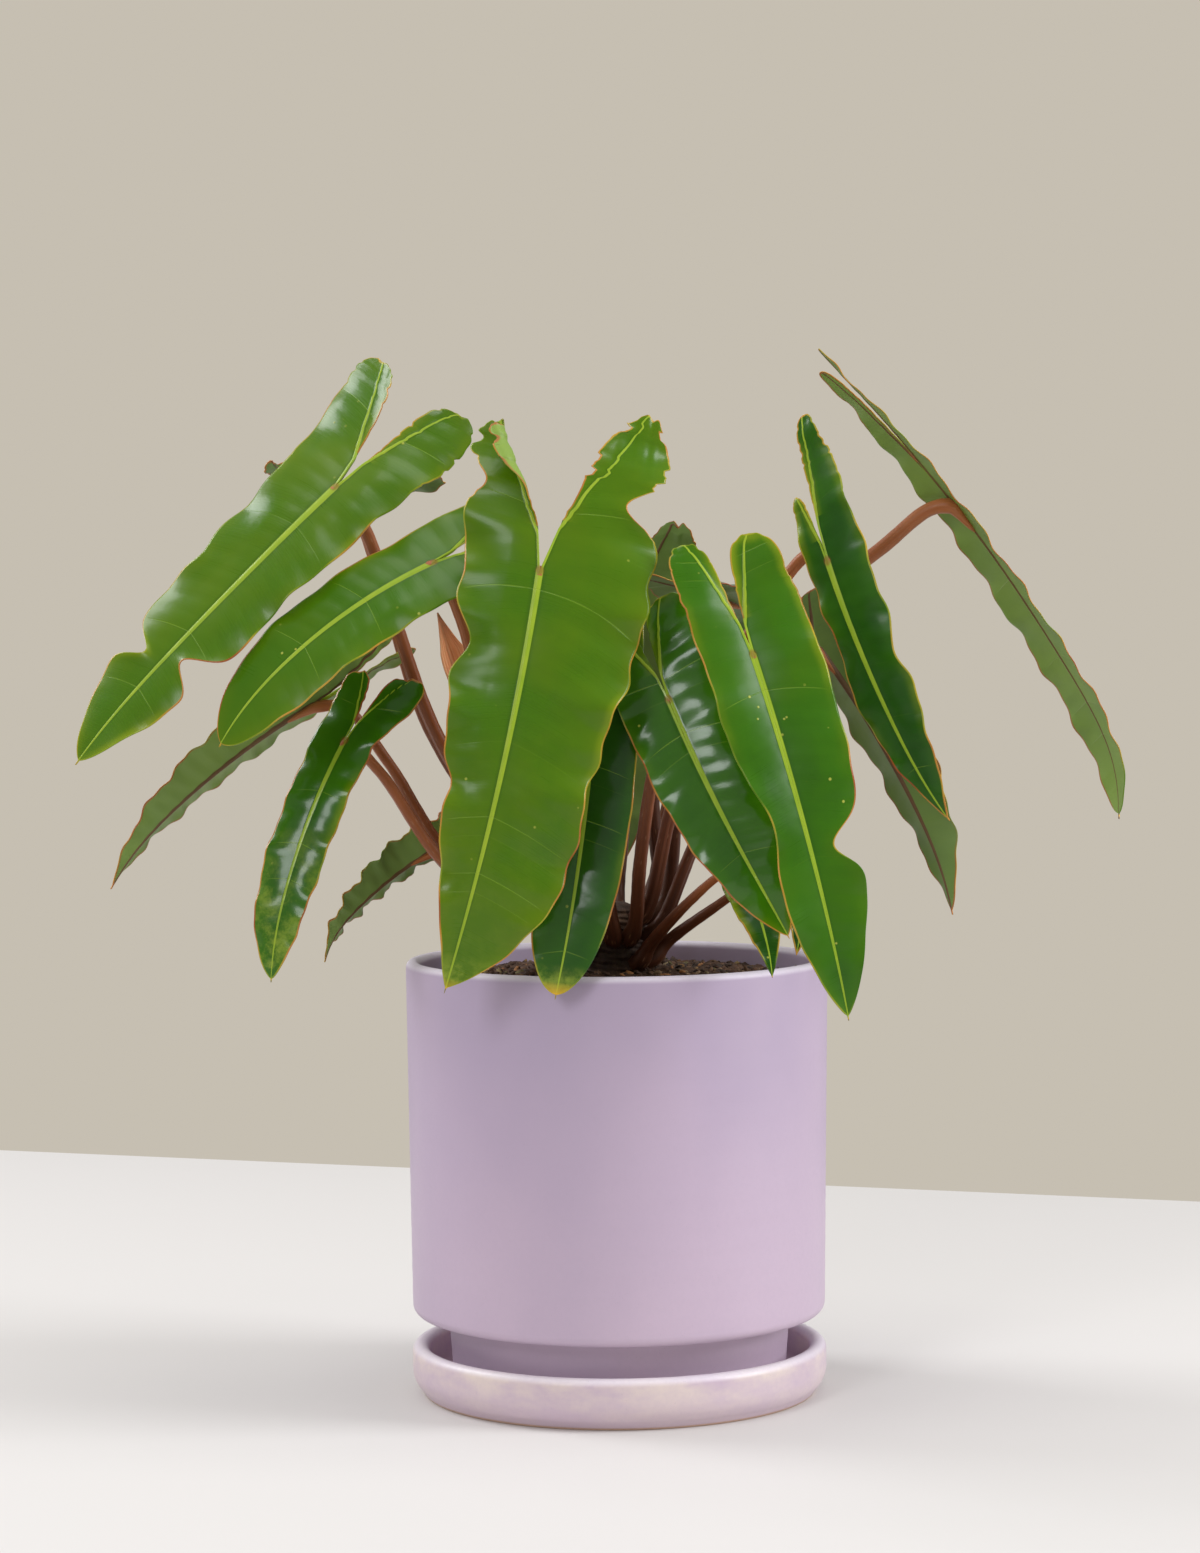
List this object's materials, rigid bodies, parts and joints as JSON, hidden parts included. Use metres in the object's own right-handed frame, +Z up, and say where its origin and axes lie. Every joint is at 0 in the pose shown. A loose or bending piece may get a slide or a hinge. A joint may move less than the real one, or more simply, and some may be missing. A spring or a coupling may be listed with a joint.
{
  "type": "potted philodendron",
  "caption": "Philodendron with long arrow-shaped leaves on arching stalks, growing in soil in a round glazed pot that stands in a matching saucer.",
  "frame": {"origin": "centre of the saucer's flat underside, on the pot's axis", "axes": "+Z up along the pot's axis; -Y towards the viewer, so +X is to the right when looking at the plant's dressed side"},
  "size_m": [0.4786, 0.2512, 0.4921],
  "materials": {
    "saucer_glaze": "satin glaze, pale pink lilac, lightly mottled",
    "pot_glaze": "satin glaze, pale lavender",
    "potting_soil": "crumbly dark peat with bark chips",
    "crown_bark": "rough dark brown stem base with old leaf scars",
    "leaf_blade": "glossy green above with a yellow-green midrib, duller and paler beneath",
    "leaf_stalk": "smooth reddish brown",
    "dry_sheath": "papery, orange pink, ribbed lengthwise"
  },
  "bodies": {
    "root": {"saucer": "saucer_glaze", "pot": "pot_glaze", "soil": "potting_soil", "crown": "crown_bark", "left_high_blade": "leaf_blade", "left_high_stalk": "leaf_stalk", "left_middle_blade": "leaf_blade", "left_middle_stalk": "leaf_stalk", "front_large_blade": "leaf_blade", "front_large_stalk": "leaf_stalk", "front_dark_blade": "leaf_blade", "front_dark_stalk": "leaf_stalk", "right_glossy_blade": "leaf_blade", "right_glossy_stalk": "leaf_stalk", "right_front_blade": "leaf_blade", "right_front_stalk": "leaf_stalk", "right_shaded_blade": "leaf_blade", "right_shaded_stalk": "leaf_stalk", "right_tall_blade": "leaf_blade", "right_tall_stalk": "leaf_stalk", "right_far_blade": "leaf_blade", "right_far_stalk": "leaf_stalk", "left_low_blade": "leaf_blade", "left_low_stalk": "leaf_stalk", "left_far_blade": "leaf_blade", "left_far_stalk": "leaf_stalk", "left_small_blade": "leaf_blade", "left_small_stalk": "leaf_stalk", "back_left_blade": "leaf_blade", "back_left_stalk": "leaf_stalk", "back_centre_blade": "leaf_blade", "back_centre_stalk": "leaf_stalk", "back_right_blade": "leaf_blade", "back_right_stalk": "leaf_stalk", "back_low_left_blade": "leaf_blade", "back_low_left_stalk": "leaf_stalk", "back_low_right_blade": "leaf_blade", "back_low_right_stalk": "leaf_stalk", "right_small_blade": "leaf_blade", "right_small_stalk": "leaf_stalk", "right_smallest_blade": "leaf_blade", "right_smallest_stalk": "leaf_stalk", "sheath": "dry_sheath"}
  },
  "joints": []
}
